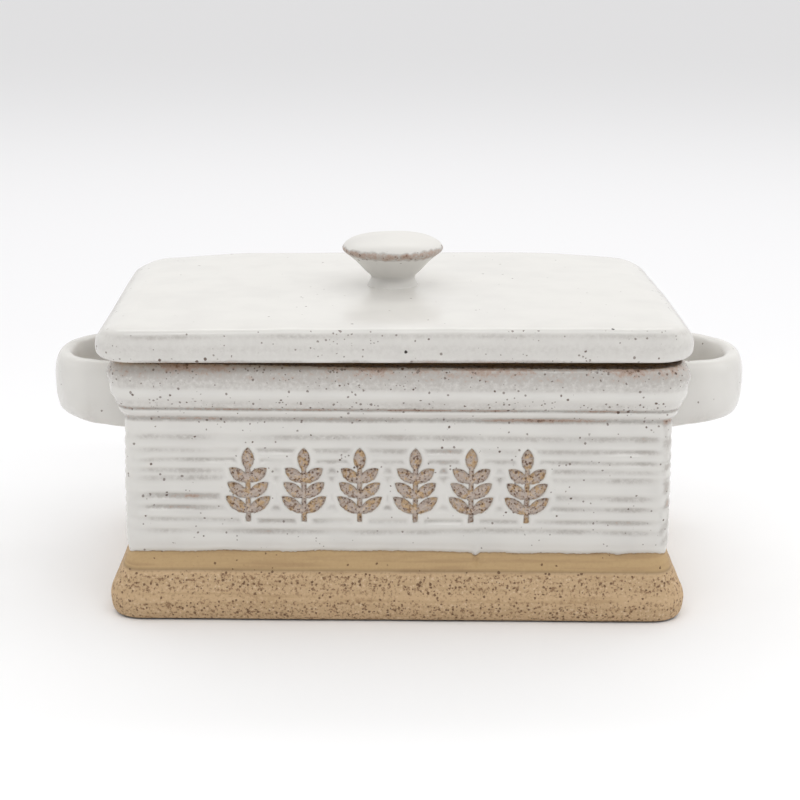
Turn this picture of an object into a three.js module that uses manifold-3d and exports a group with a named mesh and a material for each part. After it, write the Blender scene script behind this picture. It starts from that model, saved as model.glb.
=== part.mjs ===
// Butter crock: a rectangular stoneware vessel with two strap handles and a loose lid.
// Millimetres. +Z up, the crock's front faces -Y, +X runs along its length to the right handle.
// The origin is on the surface that the crock stands on, under the middle of its foot.

import * as THREE from 'three';
import { mergeVertices } from 'three/addons/utils/BufferGeometryUtils.js';
import Module from 'manifold-3d';

const wasm = await Module();
wasm.setup();

// ---- Driving dimensions ----------------------------------------------------------------

const OVERALL_LENGTH = 215;        // over both handles
const BODY_HEIGHT = 78;            // standing surface to the top of the rim

// The ribbed wall is the reference outline. Every other outline is an offset from it.
const WALL_HALF_LENGTH = 79.4;
const WALL_HALF_DEPTH = 52.8;
const WALL_CORNER_RADIUS = 4.5;

const WALL_THICKNESS = 5.8;
const FLOOR_THICKNESS = 7.5;
const FLOOR_FILLET = 6;            // inside, where the wall meets the floor

const FOOT_HEIGHT = 20;            // the flared base that is left unglazed
const FOOT_FLARE = 5.6;            // how far the foot stands out past the wall
const CREASE_DEPTH = 0.6;          // how far the wall draws in where it meets the foot
const CORNICE_BOTTOM = 60.4;       // where the moulded rim starts
const CORNICE_FLARE = 4.8;         // how far the moulded rim stands out past the wall

const GROOVE_DEPTH = 0.6;          // hand-cut grooves around the wall
const GROOVE_HALF_WIDTH = 1.15;
const GROOVE_HEIGHTS = [26.3, 29.6, 33.3, 36.6, 42.1, 44.8, 47.6, 50.6, 54.8];

const LID_OVERHANG = 6.6;          // lid edge past the wall
const LID_CORNER_RADIUS = 12;
const LID_EDGE_THICKNESS = 9.6;
const LID_CROWN = 0.8;             // rise of the lid's middle over its edge
const LID_SEAT_MARGIN = 46;        // from the lid's edge to its flat middle
const LID_REST_SHIFT = -2;         // the loose lid rests a little to the left

const FLANGE_PLAY = 3.4;           // between the lid's flange and the cavity wall, each side
const FLANGE_THICKNESS = 4.6;
const FLANGE_DEPTH = 6.4;
const FLANGE_CORNER_RADIUS = 9;

const KNOB_RADIUS = 15.6;
const KNOB_NECK_RADIUS = 6.4;
const KNOB_FOOT_RADIUS = 8;
const KNOB_HEIGHT = 15.8;

const STRAP_THICKNESS = 7.4;
const STRAP_HEIGHT = 20;
const STRAP_MIDDLE_HEIGHT = 60;    // of the strap's centre line, over the standing surface
const STRAP_HALF_SPAN = 22;        // centre line to centre line is twice this
const STRAP_ROUNDNESS = 2.25;      // exponent of the loop's outline: 2 is an ellipse
const STRAP_FULLNESS = 2.5;        // exponent of the strap's section: higher is squarer

const FIT_GAP = 0.3;               // between the wall and the ends of a handle

const SPRIG_COUNT = 6;             // impressed leaf sprigs across the front
const SPRIG_PITCH = 16.2;
const SPRIG_HEIGHT = 22.4;
const SPRIG_BOTTOM = 29.3;
const SPRIG_ROW_OFFSET = -3;       // the stamped row sits slightly left of the middle
const SPRIG_DEPTH = 1.4;           // below the crests of the ribs
const STEM_WIDTH = 1.5;
const LEAF_LENGTH = 8.2;
const LEAF_WIDTH = 3.6;
const LEAF_PAIRS = 3;
const LEAF_ANGLE = 52;             // from the stem, degrees

const CORNER_STEPS = 6;            // facets in a quarter turn of an outline
const LATHE_STEPS = 32;
const STRAP_STEPS = 22;            // along the strap
const STRAP_SECTION_STEPS = 20;    // round its section

// ---- Materials -------------------------------------------------------------------------

const GLAZE_COLOUR = 0xd9d7cf;
const GLAZE_ROUGHNESS = 0.25;
const CLAY_COLOUR = 0xb5996f;
const CLAY_ROUGHNESS = 0.85;

function glaze(name) {
  return new THREE.MeshStandardMaterial({
    name,
    color: GLAZE_COLOUR,
    roughness: GLAZE_ROUGHNESS,
    metalness: 0,
  });
}

function rawClay(name) {
  return new THREE.MeshStandardMaterial({
    name,
    color: CLAY_COLOUR,
    roughness: CLAY_ROUGHNESS,
    metalness: 0,
  });
}

// ---- Geometry helpers ------------------------------------------------------------------

// A rounded rectangle, anticlockwise seen from above, at the height z.
function roundedRectangle(halfX, halfY, radius, z) {
  const points = [];
  const corners = [[1, 1], [-1, 1], [-1, -1], [1, -1]];
  corners.forEach(([signX, signY], quarter) => {
    for (let step = 0; step <= CORNER_STEPS; step += 1) {
      const angle = (quarter + step / CORNER_STEPS) * Math.PI / 2;
      points.push([
        signX * (halfX - radius) + radius * Math.cos(angle),
        signY * (halfY - radius) + radius * Math.sin(angle),
        z,
      ]);
    }
  });
  return points;
}

// A closed solid through level outlines, lowest first, with flat ends.
function loft(outlines) {
  const size = outlines[0].length;
  const vertices = outlines.flat();
  const bottomCentre = vertices.push([0, 0, outlines[0][0][2]]) - 1;
  const topCentre = vertices.push([0, 0, outlines.at(-1)[0][2]]) - 1;
  const lastRing = (outlines.length - 1) * size;
  const triangles = [];
  for (let i = 0; i < size; i += 1) {
    const next = (i + 1) % size;
    triangles.push([bottomCentre, next, i]);
    triangles.push([topCentre, lastRing + i, lastRing + next]);
    for (let ring = 0; ring < lastRing; ring += size) {
      triangles.push([ring + i, ring + next, ring + size + next]);
      triangles.push([ring + i, ring + size + next, ring + size + i]);
    }
  }
  const geometry = new THREE.BufferGeometry();
  geometry.setAttribute('position', new THREE.Float32BufferAttribute(vertices.flat(), 3));
  geometry.setIndex(triangles.flat());
  return geometry;
}

// A loft whose outlines are offsets from one rounded rectangle. Levels are [height, offset].
function offsetLoft(halfX, halfY, radius, levels) {
  return loft(levels.map(([z, offset]) =>
    roundedRectangle(halfX + offset, halfY + offset, Math.max(radius + offset, 0.8), z)));
}

function toManifold(geometry) {
  const bare = geometry.clone();
  bare.deleteAttribute('normal');
  bare.deleteAttribute('uv');
  const merged = mergeVertices(bare, 1e-4);
  return new wasm.Manifold(new wasm.Mesh({
    numProp: 3,
    vertProperties: new Float32Array(merged.attributes.position.array),
    triVerts: new Uint32Array(merged.index.array),
  }));
}

function toGeometry(manifold) {
  const mesh = manifold.getMesh();
  const geometry = new THREE.BufferGeometry();
  geometry.setAttribute('position', new THREE.Float32BufferAttribute(mesh.vertProperties, 3));
  geometry.setIndex(Array.from(mesh.triVerts));
  geometry.computeVertexNormals();
  return geometry;
}

// Smooth [height, offset] levels through a few points.
function smoothLevels(points, count) {
  const curve = new THREE.SplineCurve(points.map(([z, offset]) => new THREE.Vector2(z, offset)));
  return curve.getPoints(count).map((point) => [point.x, point.y]);
}

function namedMesh(name, geometry, material) {
  const mesh = new THREE.Mesh(geometry, material(`${name}_finish`));
  mesh.name = name;
  return mesh;
}

// ---- Vessel ----------------------------------------------------------------------------

// The foot: a rounded lower edge, widest a little above the ground, then a hollow flare up
// to the crease under the wall.
function footLevels() {
  return [
    [0, FOOT_FLARE - 3.2],
    [0.4, FOOT_FLARE - 1.8],
    [1.3, FOOT_FLARE - 0.8],
    [2.8, FOOT_FLARE - 0.3],
    [5.8, FOOT_FLARE],
    [10, FOOT_FLARE * 0.84],
    [14, FOOT_FLARE * 0.63],
    [16.6, FOOT_FLARE * 0.45],
    [18.4, FOOT_FLARE * 0.25],
    [FOOT_HEIGHT + 0.3, -CREASE_DEPTH],
    [FOOT_HEIGHT + 2.2, 0],
  ];
}

function grooveLevels() {
  return GROOVE_HEIGHTS.flatMap((z) => [
    [z - GROOVE_HALF_WIDTH, 0],
    [z, -GROOVE_DEPTH],
    [z + GROOVE_HALF_WIDTH, 0],
  ]);
}

// The moulded rim: a groove, a bead, a crease, then a bulging band with a dip in it.
function corniceLevels() {
  const band = smoothLevels([
    [64.6, CORNICE_FLARE - 2.5],
    [66.4, CORNICE_FLARE - 1.6],
    [68.4, CORNICE_FLARE - 0.9],
    [70.6, CORNICE_FLARE - 0.7],
    [73, CORNICE_FLARE],
    [75.6, CORNICE_FLARE - 0.4],
    [77.2, CORNICE_FLARE - 1.3],
    [BODY_HEIGHT, CORNICE_FLARE - 2.8],
  ], 14);
  return [
    [CORNICE_BOTTOM - 1.3, 0.1],
    [CORNICE_BOTTOM, -0.4],
    [61.2, CORNICE_FLARE - 4.3],
    [62.2, CORNICE_FLARE - 3.3],
    [63.2, CORNICE_FLARE - 2.9],
    [63.9, CORNICE_FLARE - 3.1],
    ...band,
  ];
}

// The vessel's outside, filled. Growth moves the whole surface outwards.
function vesselOutside(growth = 0) {
  const levels = [...footLevels(), ...grooveLevels(), ...corniceLevels()];
  return offsetLoft(
    WALL_HALF_LENGTH + growth,
    WALL_HALF_DEPTH + growth,
    WALL_CORNER_RADIUS + growth,
    levels,
  );
}

// The cavity, as a solid to cut away. It runs out past the rim.
function cavity() {
  const filletSteps = 4;
  const fillet = [];
  for (let step = 0; step <= filletSteps; step += 1) {
    const angle = (step / filletSteps) * Math.PI / 2;
    fillet.push([
      FLOOR_THICKNESS + FLOOR_FILLET * (1 - Math.cos(angle)),
      FLOOR_FILLET * (Math.sin(angle) - 1),
    ]);
  }
  const levels = [
    ...fillet,
    [BODY_HEIGHT - 1.5, 0],
    [BODY_HEIGHT - 0.4, 0.4],
    [BODY_HEIGHT + 0.6, 1.4],
  ];
  return offsetLoft(
    WALL_HALF_LENGTH - WALL_THICKNESS,
    WALL_HALF_DEPTH - WALL_THICKNESS,
    FLOOR_FILLET + 2,
    levels,
  );
}

// One leaf outline with its base at the origin and its tip up along +Y.
function leafShape(length, width) {
  const shape = new THREE.Shape();
  shape.moveTo(0, 0);
  shape.quadraticCurveTo(width, length * 0.42, 0, length);
  shape.quadraticCurveTo(-width, length * 0.42, 0, 0);
  return shape;
}

// A flat outline turned into a cutter that reaches from in front of the wall into it.
function frontCutter(shape, angle, x, z) {
  const reach = 4;
  const geometry = new THREE.ExtrudeGeometry(shape, {
    depth: reach + SPRIG_DEPTH,
    curveSegments: 4,
    bevelEnabled: false,
  });
  geometry.rotateZ(angle);
  geometry.rotateX(Math.PI / 2);
  geometry.translate(x, -WALL_HALF_DEPTH + SPRIG_DEPTH, z);
  return toManifold(geometry);
}

// An upright sprig: a stem, a leaf at its tip, and pairs of leaves up its sides.
function sprigCutter(x) {
  const tipLength = LEAF_LENGTH * 0.85;
  const stemHeight = SPRIG_HEIGHT - tipLength * 0.9;
  const stem = new THREE.Shape();
  stem.moveTo(-STEM_WIDTH / 2, 0);
  stem.lineTo(STEM_WIDTH / 2, 0);
  stem.lineTo(STEM_WIDTH / 2, stemHeight);
  stem.lineTo(-STEM_WIDTH / 2, stemHeight);
  let cutter = frontCutter(stem, 0, x, SPRIG_BOTTOM);
  const tip = leafShape(tipLength, LEAF_WIDTH);
  cutter = cutter.add(frontCutter(tip, 0, x, SPRIG_BOTTOM + SPRIG_HEIGHT - tipLength));
  for (let pair = 0; pair < LEAF_PAIRS; pair += 1) {
    const z = SPRIG_BOTTOM + stemHeight * (0.16 + 0.29 * pair);
    const leaf = leafShape(LEAF_LENGTH * (1 - 0.08 * pair), LEAF_WIDTH);
    for (const side of [-1, 1]) {
      const angle = -side * THREE.MathUtils.degToRad(LEAF_ANGLE);
      cutter = cutter.add(frontCutter(leaf, angle, x, z));
    }
  }
  return cutter;
}

function crockBody() {
  let body = toManifold(vesselOutside()).subtract(toManifold(cavity()));
  for (let i = 0; i < SPRIG_COUNT; i += 1) {
    const x = SPRIG_ROW_OFFSET + (i - (SPRIG_COUNT - 1) / 2) * SPRIG_PITCH;
    body = body.subtract(sprigCutter(x));
  }
  return namedMesh('crock_body', toGeometry(body), glaze);
}

// ---- Handles ---------------------------------------------------------------------------

// The strap's section: its height runs along the shape's X and its thickness along Y.
function strapSection() {
  const power = 2 / STRAP_FULLNESS;
  const points = [];
  for (let step = 0; step < STRAP_SECTION_STEPS; step += 1) {
    const angle = (Math.PI * 2 * step) / STRAP_SECTION_STEPS;
    const across = Math.sign(Math.cos(angle)) * Math.abs(Math.cos(angle)) ** power;
    const through = Math.sign(Math.sin(angle)) * Math.abs(Math.sin(angle)) ** power;
    points.push(new THREE.Vector2(across * STRAP_HEIGHT / 2, through * STRAP_THICKNESS / 2));
  }
  return new THREE.Shape(points);
}

// The strap's centre line seen from above, from inside the wall, round, and back into it.
function strapPath(side) {
  const reach = OVERALL_LENGTH / 2 - STRAP_THICKNESS / 2 - WALL_HALF_LENGTH;
  const buried = 3;
  const steps = 16;
  const points = [];
  for (let step = 0; step <= steps; step += 1) {
    const angle = Math.PI * (step / steps - 0.5);
    const bend = 2 / STRAP_ROUNDNESS;
    const x = WALL_HALF_LENGTH + reach * Math.cos(angle) ** bend;
    const y = STRAP_HALF_SPAN * Math.sign(angle) * Math.abs(Math.sin(angle)) ** bend;
    points.push(new THREE.Vector3(side * x, y, STRAP_MIDDLE_HEIGHT));
  }
  const buriedX = side * (WALL_HALF_LENGTH - buried);
  const start = new THREE.Vector3(buriedX, -STRAP_HALF_SPAN, STRAP_MIDDLE_HEIGHT);
  const end = new THREE.Vector3(buriedX, STRAP_HALF_SPAN, STRAP_MIDDLE_HEIGHT);
  return new THREE.CatmullRomCurve3([start, ...points, end], false, 'centripetal');
}

function handle(name, side) {
  const strap = new THREE.ExtrudeGeometry(strapSection(), {
    steps: STRAP_STEPS,
    extrudePath: strapPath(side),
  });
  const trimmed = toManifold(strap).subtract(toManifold(vesselOutside(FIT_GAP)));
  return namedMesh(name, toGeometry(trimmed), glaze);
}

// ---- Lid -------------------------------------------------------------------------------

function lidSlab() {
  const levels = [
    [0, -1.7],
    [0.5, -0.6],
    [1.6, 0],
    [5.2, 0],
    ...smoothLevels([
      [6.8, -0.3],
      [8.2, -1.2],
      [9.1, -2.6],
      [LID_EDGE_THICKNESS, -4.8],
    ], 4),
    [LID_EDGE_THICKNESS + LID_CROWN * 0.5, -15],
    [LID_EDGE_THICKNESS + LID_CROWN * 0.85, -30],
    [LID_EDGE_THICKNESS + LID_CROWN, -LID_SEAT_MARGIN],
  ];
  const geometry = offsetLoft(
    WALL_HALF_LENGTH + LID_OVERHANG,
    WALL_HALF_DEPTH + LID_OVERHANG,
    LID_CORNER_RADIUS,
    levels,
  );
  return namedMesh('lid_slab', geometry, glaze);
}

function lidFlange() {
  const halfX = WALL_HALF_LENGTH - WALL_THICKNESS - FLANGE_PLAY;
  const halfY = WALL_HALF_DEPTH - WALL_THICKNESS - FLANGE_PLAY;
  const outside = [
    [-FLANGE_DEPTH, -1.4],
    [-FLANGE_DEPTH + 0.5, -0.5],
    [-FLANGE_DEPTH + 1.5, 0],
    [0, 0],
  ];
  const inside = [
    [-FLANGE_DEPTH - 1, -FLANGE_THICKNESS + 1],
    [-FLANGE_DEPTH + 1, -FLANGE_THICKNESS],
    [1, -FLANGE_THICKNESS],
  ];
  const ring = toManifold(offsetLoft(halfX, halfY, FLANGE_CORNER_RADIUS, outside))
    .subtract(toManifold(offsetLoft(halfX, halfY, FLANGE_CORNER_RADIUS, inside)));
  return namedMesh('lid_flange', toGeometry(ring), rawClay);
}

// A turned knob: a small foot, a waist, a cone up to a rounded rim, and a domed top.
function lidKnob() {
  const rimHeight = KNOB_HEIGHT * 0.735;
  const side = new THREE.SplineCurve([
    new THREE.Vector2(KNOB_FOOT_RADIUS, 0),
    new THREE.Vector2(KNOB_NECK_RADIUS + 0.5, 1.2),
    new THREE.Vector2(KNOB_NECK_RADIUS, 2.6),
    new THREE.Vector2(KNOB_NECK_RADIUS + 1.4, 4.8),
    new THREE.Vector2(KNOB_RADIUS - 3.2, 7.9),
    new THREE.Vector2(KNOB_RADIUS - 0.5, 10.6),
    new THREE.Vector2(KNOB_RADIUS, rimHeight),
    new THREE.Vector2(KNOB_RADIUS - 0.9, rimHeight + 1),
    new THREE.Vector2(KNOB_RADIUS * 0.62, KNOB_HEIGHT - 0.7),
    new THREE.Vector2(0, KNOB_HEIGHT),
  ]).getPoints(18);
  const profile = [new THREE.Vector2(0, 0), ...side];
  const geometry = new THREE.LatheGeometry(profile, LATHE_STEPS);
  geometry.rotateX(Math.PI / 2);
  const mesh = namedMesh('lid_knob', geometry, glaze);
  mesh.position.z = LID_EDGE_THICKNESS + LID_CROWN;
  return mesh;
}

// ---- Assembly --------------------------------------------------------------------------

const lid = new THREE.Group();
lid.add(lidSlab(), lidFlange(), lidKnob());
lid.position.set(LID_REST_SHIFT, 0, BODY_HEIGHT);

const crock = new THREE.Group();
crock.add(crockBody(), handle('left_handle', -1), handle('right_handle', 1), lid);

export default crock;
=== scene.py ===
import math

import bpy
import numpy as np
from mathutils import Matrix, Vector


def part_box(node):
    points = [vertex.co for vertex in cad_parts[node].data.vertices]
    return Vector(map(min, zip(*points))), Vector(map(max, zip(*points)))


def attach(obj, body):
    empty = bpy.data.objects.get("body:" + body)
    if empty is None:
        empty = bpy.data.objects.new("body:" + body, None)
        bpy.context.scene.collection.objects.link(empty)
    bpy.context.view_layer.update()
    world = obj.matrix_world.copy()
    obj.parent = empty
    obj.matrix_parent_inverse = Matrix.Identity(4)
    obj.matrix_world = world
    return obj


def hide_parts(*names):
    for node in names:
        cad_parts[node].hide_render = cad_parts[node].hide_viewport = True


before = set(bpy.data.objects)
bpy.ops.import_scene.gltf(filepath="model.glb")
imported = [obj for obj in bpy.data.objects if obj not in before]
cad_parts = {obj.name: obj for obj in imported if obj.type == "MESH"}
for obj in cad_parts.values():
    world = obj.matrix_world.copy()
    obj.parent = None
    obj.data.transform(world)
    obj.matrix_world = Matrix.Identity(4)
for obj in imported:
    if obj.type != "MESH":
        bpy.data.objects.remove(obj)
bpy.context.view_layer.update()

# Lengths in this script are millimetres until a mesh is made. The crock's front faces -Y.
MM = 0.001

# ---- Driving dimensions, from the frame ----------------------------------------------------


def box_mm(node):
    low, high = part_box(node)
    return np.array(low) / MM, np.array(high) / MM


_, body_high = box_mm("crock_body")
lid_low, lid_high = box_mm("lid_slab")
flange_low, flange_high = box_mm("lid_flange")
knob_low, knob_high = box_mm("lid_knob")
strap_low, strap_high = box_mm("right_handle")

FOOT_FLARE = 5.6
CORNICE_FLARE = 4.8
UNDER_BEAD_HEIGHT = 60.3           # of the groove under the bead
CREASE_HEIGHT = 63.5         # between the bead and the moulded rim
RIDGE_HEIGHT = 7.6           # of the smooth ridge a finger left along the foot
RIM_HEIGHT = body_high[2]
WALL_HALF_LENGTH = body_high[0] - FOOT_FLARE
WALL_HALF_DEPTH = body_high[1] - FOOT_FLARE
WALL_CORNER_RADIUS = 4.5
WALL_THICKNESS = 5.8
FLOOR_THICKNESS = 7.5
FLOOR_FILLET = 6.0
CAVITY_CORNER_RADIUS = 8.0

GLAZE_LINE = 20.0            # mean height at which the glaze stops
DRIPS = ((22.8, 0.9, 0.95), (65.0, 2.2, 0.45), (52.0, 5.0, 0.22))   # x, width, drop
GLAZE_THICKNESS = 0.42
GROOVE_HEIGHTS = (26.4, 29.7, 33.5, 36.8, 42.2, 44.7, 47.5, 50.7, 54.8)
GROOVE_DEPTH = 0.58
GROOVE_HALF_WIDTH = 1.5

SPRIG_COUNT = 6
SPRIG_PITCH = 16.2
SPRIG_HEIGHT = 22.4
SPRIG_BOTTOM = 29.3
SPRIG_ROW_OFFSET = -3.0
STAMP_DEPTH = 1.0
STEM_WIDTH = 1.5
LEAF_LENGTH = 8.2
LEAF_WIDTH = 3.6
LEAF_FULLNESS = 0.85         # exponent of a leaf's outline: lower is blunter
LEAF_PAIRS = 3
LEAF_ANGLE = math.radians(52)
TIP_LEAF_LENGTH = 0.85 * LEAF_LENGTH
STEM_HEIGHT = SPRIG_HEIGHT - 0.9 * TIP_LEAF_LENGTH
FIRST_PAIR_HEIGHT = 0.16 * STEM_HEIGHT
PAIR_SPACING = 0.29 * STEM_HEIGHT
PAIR_SHRINK = 0.08           # how much shorter each pair is than the one below it
HALO_WIDTH = 2.6             # smoothed glaze around the stamped sprigs
STAMP_MARGIN = 2.0           # finely meshed wall past each end of the row
STAMP_LEFT = SPRIG_ROW_OFFSET - SPRIG_COUNT / 2 * SPRIG_PITCH - STAMP_MARGIN
STAMP_RIGHT = SPRIG_ROW_OFFSET + SPRIG_COUNT / 2 * SPRIG_PITCH + STAMP_MARGIN

STRAP_THICKNESS = 7.4
STRAP_ROUNDNESS = 2.25       # exponent of the loop's outline: 2 is an ellipse
STRAP_FULLNESS = 2.5         # exponent of the strap's section: higher is squarer
STRAP_BURIED = 2.4           # how far its ends run into the wall

# The loose lid rests turned a little, on the high spots of a rim that isn't quite flat.
LID_TURN = math.radians(1.1)
LID_TILT = math.radians(0.12)
LID_GAP = 0.3
LID_CORNER_RADIUS = 12.0
LID_EDGE_THICKNESS = 9.6
LID_CROWN = 1.3
LID_CROWN_PLACE = 24.0       # x of its highest point

FLANGE_THICKNESS = 4.6
FLANGE_CORNER_RADIUS = 9.0
FLANGE_SUNK = 0.6            # how far its top runs into the slab

KNOB_RIM_SHARE = 0.735       # height of the widest part, as a share of the whole
KNOB_SUNK = 0.25             # how far its foot is pressed into the crown

# ---- Shape helpers -------------------------------------------------------------------------


def smoothstep(start, end, value):
    t = np.clip((value - start) / (end - start), 0.0, 1.0)
    return t * t * (3.0 - 2.0 * t)


def bell(value, centre, width):
    return np.exp(-((value - centre) / width) ** 2)


def ripple(points, wavelength, seed, count=7):
    """A smooth random field, about -1 to 1, over points given as (..., 3) in millimetres."""
    rng = np.random.default_rng(seed)
    total = np.zeros(points.shape[:-1])
    for _ in range(count):
        direction = rng.normal(size=3)
        direction /= np.linalg.norm(direction)
        frequency = 2.0 * math.pi / (wavelength * rng.uniform(0.7, 1.5))
        total += np.sin(points @ direction * frequency + rng.uniform(0.0, 2.0 * math.pi))
    return total / math.sqrt(count)


def smooth_profile(points, values):
    """Monotone cubic curve through a few (position, offset) points, read at values."""
    x, y = np.array(points, dtype=float).T
    step = np.diff(x)
    slope = np.diff(y) / step
    tangent = np.zeros_like(x)
    same_way = slope[:-1] * slope[1:] > 0
    mean = 2.0 * slope[:-1] * slope[1:] / np.where(same_way, slope[:-1] + slope[1:], 1.0)
    tangent[1:-1] = np.where(same_way, mean, 0.0)
    tangent[0], tangent[-1] = slope[0], slope[-1]
    i = np.clip(np.searchsorted(x, values) - 1, 0, len(step) - 1)
    t = np.clip((values - x[i]) / step[i], 0.0, 1.0)
    return (
        y[i] * (1 + 2 * t) * (1 - t) ** 2
        + tangent[i] * step[i] * t * (1 - t) ** 2
        + y[i + 1] * t**2 * (3 - 2 * t)
        + tangent[i + 1] * step[i] * t**2 * (t - 1)
    )


def spaced(*stops_and_steps):
    """Values from one stop to the next: spaced(0, 10, 1, 20, 2) has steps of 1, then 2."""
    start, *rest = stops_and_steps
    runs = []
    for stop, step in zip(rest[::2], rest[1::2]):
        count = max(2, int(round((stop - start) / step)) + 1)
        runs.append(np.linspace(start, stop, count)[:-1])
        start = stop
    return np.append(np.concatenate(runs), start)


class Outline:
    """Samples round a rectangle with round corners, anticlockwise from the right end."""

    def __init__(self, half_x, half_y, step, corner_count, front=None):
        along_back = spaced(-half_x, half_x, step) / half_x
        along_end = spaced(-half_y, half_y, step) / half_y
        along_front = along_back if front is None else front / half_x
        turn = np.linspace(0, math.pi / 2, corner_count + 2)[1:-1]
        runs = []
        self.add(runs, np.ones_like(along_end), along_end, 0.0)
        self.add(runs, 1.0, 1.0, turn)
        self.add(runs, -along_back, np.ones_like(along_back), math.pi / 2)
        self.add(runs, -1.0, 1.0, turn + math.pi / 2)
        self.add(runs, -np.ones_like(along_end), -along_end, math.pi)
        self.add(runs, -1.0, -1.0, turn + math.pi)
        self.add(runs, along_front, -np.ones_like(along_front), 1.5 * math.pi)
        self.add(runs, 1.0, -1.0, turn + 1.5 * math.pi)
        self.side_x, self.side_y, angle = np.concatenate(runs, axis=1)
        self.normal_x = np.round(np.cos(angle), 12)
        self.normal_y = np.round(np.sin(angle), 12)

    @staticmethod
    def add(runs, side_x, side_y, angle):
        runs.append(np.array(np.broadcast_arrays(side_x, side_y, angle), dtype=float))

    def ring(self, half_x, half_y, radius):
        """X and Y of the samples; the arguments may be columns, one row per level."""
        x = self.side_x * (half_x - radius) + radius * self.normal_x
        y = self.side_y * (half_y - radius) + radius * self.normal_y
        return x, y


def offset_rings(outline, half_x, half_y, radius, offsets, heights):
    """Rings of points, one for each height, grown outwards by the offsets (level, sample)."""
    heights = np.asarray(heights, dtype=float)
    offsets = np.broadcast_to(offsets, (len(heights), len(outline.side_x)))
    mean = offsets.mean(axis=1, keepdims=True)
    corner = np.maximum(radius + mean, 1.0)
    x, y = outline.ring(half_x + mean, half_y + mean, corner)
    x = x + (offsets - mean) * outline.normal_x
    y = y + (offsets - mean) * outline.normal_y
    z = np.broadcast_to(heights[:, None], x.shape)
    return np.stack([x, y, z], axis=-1)


def surface_fields(shape, **changes):
    """Vertex values of plain glaze, with some of them changed. See ceramic_material."""
    fields = {"bare": -5.0, "thin": 0.0, "specks": 0.0, "grain": 0.0, "residue": 0.0, "line": 0.0}
    fields.update(changes)
    return {name: np.broadcast_to(values, shape) for name, values in fields.items()}


def add_piece(name, points, faces, fields, material):
    """A smooth mesh object through points in millimetres, with its vertex values."""
    mesh = bpy.data.meshes.new(name)
    mesh.from_pydata((points.reshape(-1, 3) * MM).tolist(), [], faces)
    for field_name, values in fields.items():
        attribute = mesh.attributes.new(field_name, "FLOAT", "POINT")
        attribute.data.foreach_set("value", values.astype(np.float32).ravel())
    mesh.shade_smooth()
    mesh.validate()
    mesh.materials.append(material)
    piece = bpy.data.objects.new(name, mesh)
    bpy.context.scene.collection.objects.link(piece)
    return piece


def piece_from_rings(name, rings, fields, material):
    """A closed piece through rings of equal size, given as (level, sample, 3), capped at both ends."""
    levels, size, _ = rings.shape
    index = np.arange(levels * size).reshape(levels, size)
    low, high = index[:-1], index[1:]
    quads = np.stack([low, np.roll(low, -1, axis=1), np.roll(high, -1, axis=1), high], axis=-1)
    faces = quads.reshape(-1, 4).tolist()
    faces.append(index[0][::-1].tolist())
    faces.append(index[-1].tolist())
    piece = add_piece(name, rings, faces, fields, material)
    return piece


# ---- Node helpers for the materials --------------------------------------------------------


MIX_COLOURS = (6, 7)         # the colour inputs of a Mix node
MIX_RESULT = 2               # and its colour output

SPECK_WARP_SIZE = 0.6        # what bends the dots out of round, mm
SPECK_WARP = 0.35
SPECK_SOFT_EDGE = 0.09

STREAK_SIZE = 1.6            # up the foot, mm; along it they are drawn out
STREAK_SQUEEZE = (0.06, 0.06, 1.0)


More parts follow.
